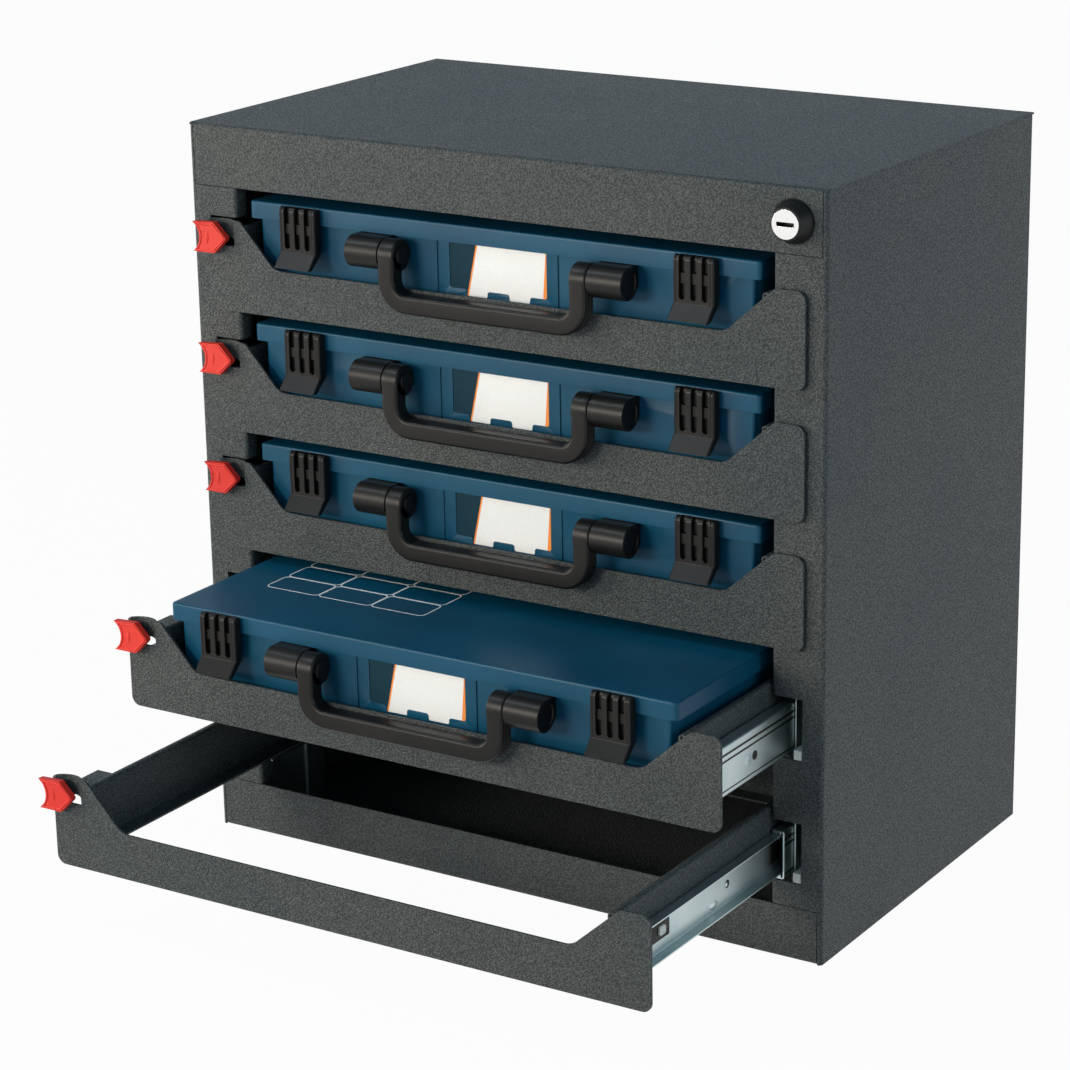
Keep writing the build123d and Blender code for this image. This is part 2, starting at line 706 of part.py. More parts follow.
for number in range(1, DRAWERS + 1):
    shift = (0, -drawer_out(number), plate_z(number))
    save(front_plate.part, f"front_plate_{number}", shift)
    save(tray_frame.part, f"tray_frame_{number}", shift)
    save(catch_lever.part, f"catch_lever_{number}", shift)
    save(slide_inner.part, f"slide_inner_{number}", (0, INNER_SHIFT - drawer_out(number), plate_z(number)))
    save(slide_middle.part, f"slide_middle_{number}", (0, MIDDLE_SHIFT - middle_out(number), plate_z(number)))

for number in range(1, CASES + 1):
    shift = (0, -drawer_out(number), plate_z(number))
    save(case_base.part, f"case_base_{number}", shift)
    save(case_lid.part, f"case_lid_{number}", shift)
    save(handle.part, f"handle_{number}", shift)
    save(handle_mounts.part, f"handle_mounts_{number}", shift)
    for name, side in (("left", -1), ("right", 1)):
        save(latch.part, f"latch_{name}_{number}", (side * LATCH_X, shift[1], shift[2]))

# Lock collar, a cone on the top flange
with BuildPart() as lock_collar:
    with BuildSketch(Plane.XZ.offset(-FRONT)) as collar_foot:
        with Locations((LOCK_X, LOCK_Z)):
            Circle(COLLAR_R)
            Circle(BARREL_R + RUNNING_FIT, mode=Mode.SUBTRACT)
    extrude(amount=COLLAR_L)
    rim = lock_collar.edges().filter_by(GeomType.CIRCLE).sort_by(Axis.Y)[0:2].sort_by(SortBy.RADIUS)[-1]
    chamfer(rim, length=COLLAR_L - COLLAR_RIM, length2=COLLAR_R - COLLAR_TIP_R)
save(lock_collar.part, "lock_collar")

CRANK_BACK = FRONT + BARREL_BACK + CRANK_T
CRANK_PIN_X = LOCK_X + CRANK_R * cos(radians(CRANK_ANGLE))
CRANK_PIN_Z = LOCK_Z - CRANK_R * sin(radians(CRANK_ANGLE))
YOKE_Y = CRANK_BACK + YOKE_GAP

# Lock barrel with its keyway, rear crank and crank pin
with BuildPart() as lock_barrel:
    face_y = FRONT - COLLAR_L - RUNNING_FIT
    with BuildSketch(Plane.XZ.offset(-CRANK_BACK)):
        with Locations((LOCK_X, LOCK_Z)):
            Circle(BARREL_R)
    extrude(amount=CRANK_BACK - face_y)
    with BuildSketch(Plane.XZ.offset(-face_y)):
        with Locations((LOCK_X, LOCK_Z)):
            Circle(BARREL_FACE_R)
    extrude(amount=BARREL_FACE_T)
    block(
        (LOCK_X - KEY_W / 2, face_y - BARREL_FACE_T - OVERCUT, LOCK_Z - KEY_H / 2),
        (LOCK_X + KEY_W / 2, face_y + KEY_DEPTH, LOCK_Z + KEY_H / 2),
        mode=Mode.SUBTRACT,
    )
    with BuildSketch(Plane.XZ.offset(-YOKE_Y - LOCK_BAR_T)):
        with Locations((CRANK_PIN_X, CRANK_PIN_Z)):
            Circle(CRANK_PIN_R)
    extrude(amount=LOCK_BAR_T + YOKE_GAP)
save(lock_barrel.part, "lock_barrel")

BAR_LOW = plate_z(DRAWERS)
BAR_X = SIDE - SHEET - LOCK_BAR_GAP

# Lock bar: an upright strip behind the right column, with a slotted yoke for the crank pin
with BuildPart() as lock_bar:
    yoke_z = CRANK_PIN_Z
    block((BAR_X - LOCK_BAR_W, YOKE_Y, BAR_LOW), (BAR_X, YOKE_Y + LOCK_BAR_T, yoke_z + YOKE_H / 2))
    block(
        (CRANK_PIN_X - YOKE_SLIDE - CRANK_PIN_R, YOKE_Y, yoke_z - YOKE_H / 2),
        (BAR_X, YOKE_Y + LOCK_BAR_T, yoke_z + YOKE_H / 2),
    )
    with BuildSketch(Plane.XZ.offset(-YOKE_Y - LOCK_BAR_T - OVERCUT)):
        with Locations((CRANK_PIN_X, yoke_z)):
            SlotCenterToCenter(YOKE_SLIDE, 2 * (CRANK_PIN_R + YOKE_GAP))
    extrude(amount=LOCK_BAR_T + 2 * OVERCUT, mode=Mode.SUBTRACT)
save(lock_bar.part, "lock_bar")

# Nylon catches on the lock bar, one at the lower outer corner of each notch
with BuildPart() as lock_catches:
    for number in range(1, DRAWERS + 1):
        catch_z = plate_z(number) + NOTCH_BOTTOM + CATCH_INSET
        block(
            (NOTCH_X - CATCH_INSET - CATCH_W, FRONT + CATCH_INSET, catch_z),
            (NOTCH_X - CATCH_INSET, YOKE_Y, catch_z + CATCH_H),
        )
        block(
            (NOTCH_X - CATCH_INSET, YOKE_Y - LOCK_BAR_T, catch_z),
            (BAR_X, YOKE_Y, catch_z + CATCH_H),
        )
save(lock_catches.part, "lock_catches")
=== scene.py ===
"""Looks for the assortment case tower: powder-coated sheet, zinc slides, moulded cases,
handles and latches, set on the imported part. Metres, the part's own frame."""

import json
import math

import bmesh
import bpy
import numpy as np
from mathutils import Matrix, Vector

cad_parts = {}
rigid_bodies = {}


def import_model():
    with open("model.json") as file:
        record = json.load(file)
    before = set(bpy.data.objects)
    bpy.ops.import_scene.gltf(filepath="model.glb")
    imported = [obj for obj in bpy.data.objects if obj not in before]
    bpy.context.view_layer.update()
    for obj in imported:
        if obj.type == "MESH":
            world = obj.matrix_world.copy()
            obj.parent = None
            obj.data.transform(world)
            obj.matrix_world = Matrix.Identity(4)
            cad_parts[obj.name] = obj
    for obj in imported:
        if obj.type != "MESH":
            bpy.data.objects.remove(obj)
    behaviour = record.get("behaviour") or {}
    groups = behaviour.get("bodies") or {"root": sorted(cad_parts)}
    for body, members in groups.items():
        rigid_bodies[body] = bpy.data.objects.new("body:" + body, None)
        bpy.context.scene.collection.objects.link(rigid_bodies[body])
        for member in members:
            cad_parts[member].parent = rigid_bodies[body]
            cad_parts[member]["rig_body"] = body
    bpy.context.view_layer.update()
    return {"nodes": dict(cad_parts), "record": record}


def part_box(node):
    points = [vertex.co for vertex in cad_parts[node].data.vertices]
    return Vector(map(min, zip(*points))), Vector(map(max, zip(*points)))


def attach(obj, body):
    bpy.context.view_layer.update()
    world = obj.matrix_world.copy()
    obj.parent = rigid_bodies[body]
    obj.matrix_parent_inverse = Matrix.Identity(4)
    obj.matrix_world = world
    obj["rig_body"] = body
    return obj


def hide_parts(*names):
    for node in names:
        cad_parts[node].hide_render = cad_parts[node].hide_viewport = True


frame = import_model()

MM = 0.001
DRAWERS = range(1, 6)
CASES = range(1, 5)
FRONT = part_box("top_panel")[0].y
PLATE_1_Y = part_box("front_plate_1")[0].y

# How much the edges of the copied sheet, plastic, lever and lock pieces are eased
SHEET_EDGE = 0.35
PLASTIC_EDGE = 0.55
LEVER_EDGE = 0.8
LOCK_EDGE = 0.2
ROUNDER_PIECES = (
    "case_base",
    "case_lid",
    "handle_mounts",
    "lock_collar",
    "lock_barrel",
    "lock_catches",
)
FLAT_DEGREES = 0.6
CREASE_DEGREES = 30
EASED_DEGREES = 50

# Measures of a drawer and its case, in millimetres from the drawer's own place: x across,
# y back from the cabinet's front, z up from the front plate's underside
CASE_FRONT = 2.5
CASE_CORNERS = (8.0, 3.0)
LUG_CUT = CASE_FRONT - 0.2
BASE_FRONT = 6.7
LID_TOP = 81.0
PLATE_EDGE = 241.0
PLATE_BACK = -1.2
# Deeper than this behind the lock's face, the barrel and its key slot are painted black as shade
LOCK_FACE_DEPTH = 1.2

# The thumb lever's face: an arrowhead with a hollow tail
LEVER_FRONT = -10.2
# Behind this depth the lever's arm is painted black as shade
LEVER_ARM = PLATE_BACK - 3.0
LEVER_TAIL = 7.3
LEVER_TAIL_DROP = 1.0
LEVER_NECK = 11.5
LEVER_TIP = 22.5
LEVER_LOW = 42.6
LEVER_HIGH = 65.0
LEVER_HOLLOW = 6.0
RIM_INSET = 1.7
RIM_HALF = 0.75
RIM_RISE = 0.55
LENS_X = 5.6
LENS_HALF_X = 1.7
LENS_HALF_Z = 5.4
LENS_FACES = (-0.6, 0.3)

# The handle: two hubs, two legs, a grip between them, and ribs down the outer face
HUB_RADIUS = 11.3
HUB_EDGE = 1.3
HUB_FLAT = HUB_RADIUS - 2.6
HUB_Z = 57.1
HUB_Y = CASE_FRONT - 8.1
BOSS_RADIUS = 6.3
BOSS_RISE = 1.2
BOSS_EDGE = 0.5
LEG_X = 77.2
LEG_HALF = 6.5
LEG_EDGE = 2.5
LEG_Y = HUB_Y - 4.9
GRIP_Z = 25.2
GRIP_BEND = 15.5
RIB_PITCH = 2.2
RIB_DEPTH = 0.75
RIB_GROOVE = (0.25, 0.65)
RIB_BAND = 2 * RIB_PITCH
RIB_START = LEG_HALF - 0.4

# The latch: a plate with a rolled top, a flared lip below and three rows of troughs
LATCH_X = 159.55
LATCH_HALF = 15.25
LATCH_BACK = CASE_FRONT - 0.4
LATCH_THICK = 7.2
LATCH_ROLL = LATCH_THICK / 2
LATCH_LOW = 39.0
LATCH_LIP = 10.0
LATCH_FLARE = 8.5
LATCH_LIP_THICK = 4.0
LATCH_PIVOT = 77.2
LATCH_SIDE = (LATCH_HALF - 0.9, LATCH_HALF)
LATCH_SIDE_DROP = 0.7
BORDER_X = 13.0
BORDER_HALF = (0.2, 0.6)
BORDER_DEPTH = 0.3
TROUGH_PITCH = 8.6
TROUGH_HALF = 2.3
TROUGH_EDGE = 0.3
TROUGH_LOW = 53.6
TROUGH_DEPTH = 3.6
TROUGH_STEP = (61.4, 69.4)
TROUGH_STEP_EDGE = 0.4
TROUGH_STEP_SHARE = 0.5

# The plan on the lid and the card in the base's pocket
PLAN_CENTRES_X = (-146.8, -101.6, -56.4)
PLAN_CENTRES_Y = (77.0, 103.0, 129.0)
PLAN_HALF = (22.2, 12.6)
PLAN_CORNER = 4.0
PLAN_LINE_HALF = 0.45
PLAN_LOW = LID_TOP - 0.05
PLAN_HIGH = LID_TOP + 0.06
CARD_FRONT = BASE_FRONT + 0.3
CARD_THICK = 0.45
CARD_LOW = 31.4
CARD_HIGH = 68.2
CARD_FOOT = np.array([-39.0, -25.5, -24.2, 35.6, 39.0])
CARD_HEAD = np.array([-39.0, -17.5, -16.2, 38.4, 39.0])

# The slides' side faces, and on them low domed heads: y, z, radius, rise, stretch along y
INNER_WEB = 215.9
MIDDLE_WEB = 226.0
TRAY_WALL = 213.2
DIMPLE = (119.8, 21.1, 3.0, 0.9, 1.7)
TRAY_SCREW = (134.5, 31.6, 3.0, 1.2, 1.0)
TRAY_RIVET = (54.0, 34.4, 1.8, 0.5, 1.8)
# SCREW_HOLE is a black disc round the screw: painted shade for its hole
SCREW_HOLE = (138.3, 29.4, 2.9, 0.1, 1.0)
SCREW = (137.4, 29.2, 1.7, 0.5, 1.0)
MIDDLE_RIVET = (58.9, 26.8, 4.2, 0.18, 1.0)
# MIDDLE_HOLE is a black disc on the middle member: painted shade for its hole
MIDDLE_HOLE = (68.4, 27.2, 3.2, 0.08, 1.0)
HEAD_SUNK = 0.2

# Blocks on the slides' side faces: low (y, z), high (y, z), from and to outwards, corner
FRONT_STOP = ((38.4, 24.4), (61.4, 36.4), -0.1, 1.0, 1.5)
STOP_HOOK = ((46.6, 28.0), (54.4, 34.2), 0.9, 2.4, 1.8)
REAR_BUFFER = ((195.8, 21.6), (209.0, 35.2), -0.1, 1.4, 0.8)
# These three are thin black strips along the middle member: painted shade in its grooves
GROOVE_SHADES = (
    ((0.6, 15.0), (289.4, 15.7), -0.2, 0.12, 0.2),
    ((0.6, 35.4), (289.4, 36.6), -0.2, 0.12, 0.2),
    ((0.6, 39.8), (289.4, 41.2), -0.2, 0.12, 0.2),
)
BLOCK_EASE = 0.3
BLOCK_TOP_SHARE = 0.94

# Floor, lamps, and the camera at the photograph's viewing angle
FLOOR_HALF = 14.0
FLOOR_GLOW = 0.96
WARM = (1.0, 0.91, 0.80)
COOL = (0.82, 0.94, 1.0)
CLEAR = (0.90, 0.96, 1.0)
CAMERA_PLACE = (1.1882, -1.9508, 0.9459)
RIGHT = np.array([0.85431, 0.51965, -0.01108])
DOWN = np.array([0.14519, -0.25906, -0.95489])
AHEAD = np.array([-0.49908, 0.81416, -0.29677])
FRAME_PIXELS = 1070.0
FOCAL_PIXELS = 3252.0
CENTRE_PIXELS = (607.3, 519.8)
SENSOR = 36.0


def drawer_place(number):
    """Where a drawer's own measures start: no shift across, its way out, its plate's underside."""
    low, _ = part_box(f"front_plate_{number}")
    return np.array([0.0, FRONT + low.y - PLATE_1_Y, low.z])


class Wire:
    """A shader value, colour or vector that expressions can add, scale and take away."""

    def __init__(self, tree, socket):
        self.tree = tree
        self.socket = socket

    def add_node(self, kind, settings=None, **inputs):
        """Makes a node, sets its settings first, then its inputs by name or by number."""
        node = self.tree.nodes.new(kind)
        for name, value in (settings or {}).items():
            setattr(node, name, value)
        for name, value in inputs.items():
            numbered = name[0] == "i" and name[1:].isdigit()
            key = int(name[1:]) if numbered else name.replace("_", " ")
            if isinstance(value, Wire):
                self.tree.links.new(value.socket, node.inputs[key])
            else:
                node.inputs[key].default_value = value
        return node

    def out(self, node, name=0):
        """One of a node's outputs, by name or by number."""
        return Wire(self.tree, node.outputs[name])

    def maths(self, operation, other, clamp=False):
        """A Math node on this value and another."""
        settings = {"operation": operation, "use_clamp": clamp}
        return self.out(self.add_node("ShaderNodeMath", settings, i0=self, i1=other))

    def __add__(self, other):
        return self.maths("ADD", other)

    __radd__ = __add__

    def __mul__(self, other):
        return self.maths("MULTIPLY", other)

    __rmul__ = __mul__

    def __sub__(self, other):
        return self.maths("SUBTRACT", other)

    def __rsub__(self, other):
        return self * -1.0 + other

    def smooth(self, low, high):
        """0 below low, 1 above high, and a smooth step between them."""
        settings = {"interpolation_type": "SMOOTHSTEP"}
        inputs = {"From_Min": low, "From_Max": high, "Value": self}
        return self.out(self.add_node("ShaderNodeMapRange", settings, **inputs))

    def noise(self, scale, detail=2.0, roughness=0.5):
        """Noise at this place, with scale cells to the metre."""
        inputs = {"Vector": self, "Scale": scale, "Detail": detail, "Roughness": roughness}
        return self.out(self.add_node("ShaderNodeTexNoise", None, **inputs))

    def mix(self, first, second):
        """The first colour where this value is 0, the second where it is 1."""
        first, second = (
            colour if isinstance(colour, Wire) else (*colour, 1.0) for colour in (first, second)
        )
        settings = {"data_type": "RGBA"}
        return self.out(self.add_node("ShaderNodeMix", settings, i0=self, i6=first, i7=second), 2)


def finish(name, build, **fixed):
    """A material: build takes the object's coordinates and returns what varies over it, and
    the fixed values go on the shader's own sockets."""
    material = bpy.data.materials.new(name)
    material.use_nodes = True
    tree = material.node_tree
    shader = tree.nodes["Principled BSDF"]
    for key, value in fixed.items():
        shader.inputs[key.replace("_", " ")].default_value = value
    start = Wire(tree, shader.outputs[0])
    place = start.out(start.add_node("ShaderNodeTexCoord"), "Object")
    varied = build(place)
    strength, distance, height = varied.pop("height")
    for key, value in varied.items():
        tree.links.new(value.socket, shader.inputs[key.replace("_", " ")])
    bump = place.add_node(
        "ShaderNodeBump", None, Strength=strength, Distance=distance, Height=height
    )
    tree.links.new(bump.outputs["Normal"], shader.inputs["Normal"])
    return material


def powder_coat_nodes(place):
    """Wrinkled coat: pebbles a little over a millimetre across, with painted light on their tops
    and painted shade in the dips between them, over a slow change of tone."""
    askew = place.out(
        place.add_node("ShaderNodeMapping", None, Vector=place, Rotation=(0.5, 0.7, 0.3))
    )
    curls = askew.noise(850.0, detail=1.5, roughness=0.45)
    fine = askew.noise(2600.0, detail=2.0, roughness=0.6)
    grain = curls * 0.8 + fine * 0.2
    lift = grain.smooth(0.42, 0.60)
    broad = place.noise(7.0).smooth(0.35, 0.65)
    # Painted light and shade: the grain's high bumps are coloured lighter and the dips between
    # them darker
    shaded_valley = broad.mix((0.024, 0.030, 0.032), (0.030, 0.034, 0.035))
    lit_pebble = broad.mix((0.066, 0.078, 0.080), (0.080, 0.088, 0.086))
    return {
        "Base_Color": lift.mix(shaded_valley, lit_pebble),
        "Roughness": 0.54 - lift * 0.16,
        "height": (1.0, 0.0010, grain),
    }


def zinc_nodes(place):
    """Bright zinc: faint rolling marks along the member and cloudy blue and yellow patches."""
    stretched = place.out(
        place.add_node("ShaderNodeMapping", None, Vector=place, Scale=(1.0, 0.03, 1.0))
    )
    streak = stretched.noise(2200.0, detail=2.0, roughness=0.6)
    cloud = place.noise(38.0, detail=3.0)
    colour = cloud.smooth(0.3, 0.7).mix((0.42, 0.54, 0.55), (0.58, 0.66, 0.65))
    return {
        "Base_Color": streak.smooth(0.25, 0.75).mix(colour, (0.54, 0.63, 0.64)),
        "Roughness": 0.28 + streak * 0.16 + cloud * 0.06,
        "height": (0.12, 0.00005, streak),
    }


def moulded_nodes(dark, light, cells, rough, depth=0.00008):
    """Moulded plastic: a spark-eroded grain with a slow change of tone."""

    def build(place):
        grain = place.noise(cells, detail=3.0, roughness=0.6)
        slow = place.noise(14.0)
        return {
            "Base_Color": slow.smooth(0.3, 0.7).mix(dark, light),
            "Roughness": rough + grain * 0.12,
            "height": (0.35, depth, grain),
        }

    return build


def chrome_nodes(place):
    """Polished face with fine turning rings and hairline handling marks."""
    marks = place.noise(420.0, detail=4.0, roughness=0.7)
    return {
        "Base_Color": marks.smooth(0.4, 0.8).mix((0.86, 0.86, 0.85), (0.78, 0.79, 0.79)),
        "Roughness": 0.10 + marks * 0.14,
        "height": (0.08, 0.00003, marks),
    }


def card_nodes(dark, light):
    """Coated card: faint fibres and a little unevenness of tone."""

    def build(place):
        fibre = place.noise(1400.0, detail=3.0, roughness=0.65)
        return {
            "Base_Color": fibre.smooth(0.3, 0.7).mix(dark, light),
            "Roughness": 0.55 + fibre * 0.2,
            "height": (0.15, 0.00004, fibre),
        }

    return build


powder_coat = finish("anthracite_powder_coat", powder_coat_nodes, Specular_IOR_Level=0.22)
zinc = finish("bright_zinc", zinc_nodes, Metallic=1.0)
black_plastic = finish(
    "black_moulded_plastic",
    moulded_nodes(
        (0.0045, 0.0042, 0.0038), (0.0085, 0.0080, 0.0072), cells=1300.0, rough=0.32, depth=0.00010
    ),
    Specular_IOR_Level=0.24,
)
blue_plastic = finish(
    "blue_case_plastic",
    moulded_nodes(
        (0.0012, 0.052, 0.102), (0.0020, 0.066, 0.126), cells=1800.0, rough=0.32, depth=0.00004
    ),
    Specular_IOR_Level=0.24,
)
red_plastic = finish(
    "red_lever_plastic",
    moulded_nodes((0.58, 0.020, 0.012), (0.66, 0.030, 0.017), cells=1200.0, rough=0.42),
    Specular_IOR_Level=0.35,
)
nylon = finish(
    "natural_nylon",
    moulded_nodes((0.66, 0.64, 0.58), (0.74, 0.72, 0.67), cells=1200.0, rough=0.45),
)
chrome = finish("polished_chrome", chrome_nodes, Metallic=1.0)
white_card = finish("white_label_card", card_nodes((0.78, 0.78, 0.77), (0.86, 0.86, 0.85)))
orange_card = finish("orange_card_edge", card_nodes((0.82, 0.22, 0.02), (0.90, 0.28, 0.04)))
teal_card = finish(
    "dark_teal_card",
    card_nodes((0.002, 0.026, 0.042), (0.004, 0.034, 0.052)),
    Specular_IOR_Level=0.15,
)
white_ink = finish("white_screen_ink", card_nodes((0.70, 0.72, 0.74), (0.82, 0.84, 0.85)))

SLOT_FINISH = {
    "powder_coat": powder_coat,
    "zinc_steel": zinc,
    "black_plastic": black_plastic,
    "blue_plastic": blue_plastic,
    "red_plastic": red_plastic,
    "white_nylon": nylon,
    "lock_chrome": chrome,
}
NODE_SLOT = {part["node"]: part["material_slot"] for part in frame["record"]["subparts"]}
for name, node in frame["nodes"].items():
    node.data.materials.clear()
    node.data.materials.append(SLOT_FINISH[NODE_SLOT[name]])


def shown(name, data):
    """An object in the scene that holds a mesh, a lamp or the camera."""
    thing = bpy.data.objects.new(name, data)
    bpy.context.scene.collection.objects.link(thing)
    return thing


def new_piece(name, points, faces, material, crease):
    """An object from whole arrays of corners and quads, its normals set to point outwards."""
    mesh = bpy.data.meshes.new(name)
    mesh.from_pydata(points.tolist(), [], faces)
    work = bmesh.new()
    work.from_mesh(mesh)
    bmesh.ops.remove_doubles(work, verts=work.verts, dist=1e-6)
    bmesh.ops.recalc_face_normals(work, faces=work.faces)
    work.to_mesh(mesh)
    work.free()
    mesh.shade_smooth()
    mesh.set_sharp_from_angle(angle=math.radians(crease))
    mesh.materials.append(material)
    return shown(name, mesh)


def seat(piece, body, slot, *nodes):
    """The piece rides a body and stands for the nodes it replaces; its slot is not used."""
    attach(piece, body)
    if nodes:
        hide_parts(*nodes)
    return piece


def face_centres(mesh):
    """The centres of a mesh's faces, one row each."""
    centres = np.empty(len(mesh.polygons) * 3, np.float32)
    mesh.polygons.foreach_get("center", centres)
    return centres.reshape(-1, 3)


def grid_faces(rows, columns, start=0, wrap_rows=False, wrap_columns=False):
    """The quads of a grid of rows by columns, closed round either way if asked: each joins a
    corner to the next in its row and to the same two in the next row."""
    r = np.arange(rows if wrap_rows else rows - 1)
    c = np.arange(columns if wrap_columns else columns - 1)
    r, c = (a.ravel() for a in np.meshgrid(r, c, indexing="ij"))
    r2, c2 = (r + 1) % rows, (c + 1) % columns
    quads = np.stack([r * columns + c, r * columns + c2, r2 * columns + c2, r2 * columns + c], 1)
    return (quads + start).tolist()


class Shells:
    """Collects the closed surfaces that make up one piece, in millimetres."""

    def __init__(self):
        self.points = []
        self.faces = []
        self.count = 0

    def grid(self, points, wrap_rows=False, wrap_columns=False, caps=False):
        """Adds a grid of points, rows by columns; caps closes its first and last row."""
        rows, columns = points.shape[:2]
        self.faces += grid_faces(rows, columns, self.count, wrap_rows, wrap_columns)
        if caps:
            first = list(range(self.count, self.count + columns))
            last = [self.count + (rows - 1) * columns + i for i in range(columns)]
            self.faces += [first[::-1], last]
        self.points.append(points.reshape(-1, 3))
        self.count += rows * columns
        return self

    def plate(self, near, far):
        """Adds two grids of one size and the four strips that join their rims."""
        self.grid(near).grid(far)
        for edge in (np.s_[0, :], np.s_[-1, :], np.s_[:, 0], np.s_[:, -1]):
            self.grid(np.stack([near[edge], far[edge]]))
        return self

    def piece(self, name, material, place, crease=35.0):
        """The object, with its millimetres turned to metres and set at a place."""
        points = np.concatenate(self.points) * MM + place
        return new_piece(name, points, self.faces, material, crease)


def turned(profile, centre, axis, steps=64):
    """A profile of (radius, distance along the axis) turned round an axis through centre:
    centre + radius x (cosine across + sine square to both) + distance along."""
    radius, along = np.array(profile, float).T
    angle = np.linspace(0, 2 * np.pi, steps, endpoint=False)
    axis = np.array(axis, float)
    across = np.array([0.0, 0.0, 1.0])
    other = np.cross(axis, across)
    ring = np.cos(angle)[:, None] * across + np.sin(angle)[:, None] * other
    return np.array(centre) + radius[:, None, None] * ring[None] + along[:, None, None] * axis


def rounded_outline(half_x, half_y, radius, arc):
    """Points round a rectangle with round corners, about its own centre: a quarter circle of
    arc steps round each corner's centre, which stands a radius in from both sides."""
    turn = np.linspace(0, np.pi / 2, arc + 1)
    parts = []
    for quarter, (sx, sy) in enumerate(((1, 1), (-1, 1), (-1, -1), (1, -1))):
        angle = turn + quarter * np.pi / 2
        corner = np.array([sx * (half_x - radius), sy * (half_y - radius)])
        parts.append(corner + radius * np.stack([np.cos(angle), np.sin(angle)], 1))
    return np.concatenate(parts)


def sideways(loop):
    """At each point of a closed flat loop, the unit vector square to the line from the point
    before it to the one after it."""
    flow = np.roll(loop, -1, 0) - np.roll(loop, 1, 0)
    flow /= np.linalg.norm(flow, axis=1)[:, None]
    return np.stack([-flow[:, 1], flow[:, 0]], 1)


def step(value, low, high):
    """A smooth step from 0 at low to 1 at high: 3 t squared less 2 t cubed."""
    t = np.clip((value - low) / (high - low), 0.0, 1.0)
    return t * t * (3.0 - 2.0 * t)


def tighter_corners(points, radius, wanted):
    """Tightens a box's upright corners from one radius to another: along each ray from the
    old arc's centre, a point moves out by the new outline's reach over the old radius."""
    low, high = points.min(0)[:2], points.max(0)[:2]
    inset = radius - wanted
    for signs in np.array([(-1, -1), (1, -1), (-1, 1), (1, 1)]):
        centre = np.where(signs < 0, low + radius, high - radius)
        arm = (points[:, :2] - centre) * signs
        inside = (arm > 1e-7).all(1)
        angle = np.arctan2(arm[inside, 1], arm[inside, 0])
        cosine, sine = np.cos(angle), np.sin(angle)
        along = inset * (cosine + sine)
        round_reach = along + np.sqrt(np.clip(along**2 - 2 * inset**2 + wanted**2, 0, None))
        on_side = np.minimum(cosine, sine) * radius < inset * np.maximum(cosine, sine)
        reach = np.where(on_side, radius / np.maximum(cosine, sine), round_reach)
        points[inside, :2] = centre + arm[inside] * (reach / radius)[:, None] * signs
    return points


def eased_copy(node, width, black=None, cut=None, corners=None):
    """A copy of a CAD node with its flats merged and its edges eased by a width.
    Where black is given, it takes the depths of the faces' centres and says which are painted
    black as shade.
    Where cut is given, what stands in front of that depth is taken off and its place closed.
    Where corners is given, its upright corners go from the first radius to the second."""
    source = frame["nodes"][node]
    mesh = source.data.copy()
    work = bmesh.new()
    work.from_mesh(mesh)
    bmesh.ops.remove_doubles(work, verts=work.verts, dist=2e-6)
    if cut is not None:
        proud = [vert for vert in work.verts if vert.co.y < cut]
        bmesh.ops.delete(work, geom=proud, context="VERTS")
        bmesh.ops.holes_fill(work, edges=[edge for edge in work.edges if edge.is_boundary])
    bmesh.ops.dissolve_limit(
        work, angle_limit=math.radians(FLAT_DEGREES), verts=work.verts, edges=work.edges
    )
    work.to_mesh(mesh)
    work.free()
    if corners:
        points = np.empty(len(mesh.vertices) * 3)
        mesh.vertices.foreach_get("co", points)
        points = tighter_corners(points.reshape(-1, 3), corners[0] * MM, corners[1] * MM)
        mesh.vertices.foreach_set("co", points.ravel())
    mesh.shade_smooth()
    mesh.set_sharp_from_angle(angle=math.radians(CREASE_DEGREES))
    # Painted shade: faces deep behind the front take the black plastic finish
    if black:
        mesh.materials.append(black_plastic)
        in_painted_shade = black(face_centres(mesh)[:, 1])
        mesh.polygons.foreach_set("material_index", in_painted_shade.astype(np.int32))
    piece = shown(f"{node}_finished", mesh)
    bevel = piece.modifiers.new("eased_edges", "BEVEL")
    bevel.width = width * MM
    bevel.segments = 2
    bevel.limit_method = "ANGLE"
    bevel.angle_limit = math.radians(EASED_DEGREES)
    bevel.harden_normals = True
    return seat(piece, source["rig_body"], NODE_SLOT[node], node)


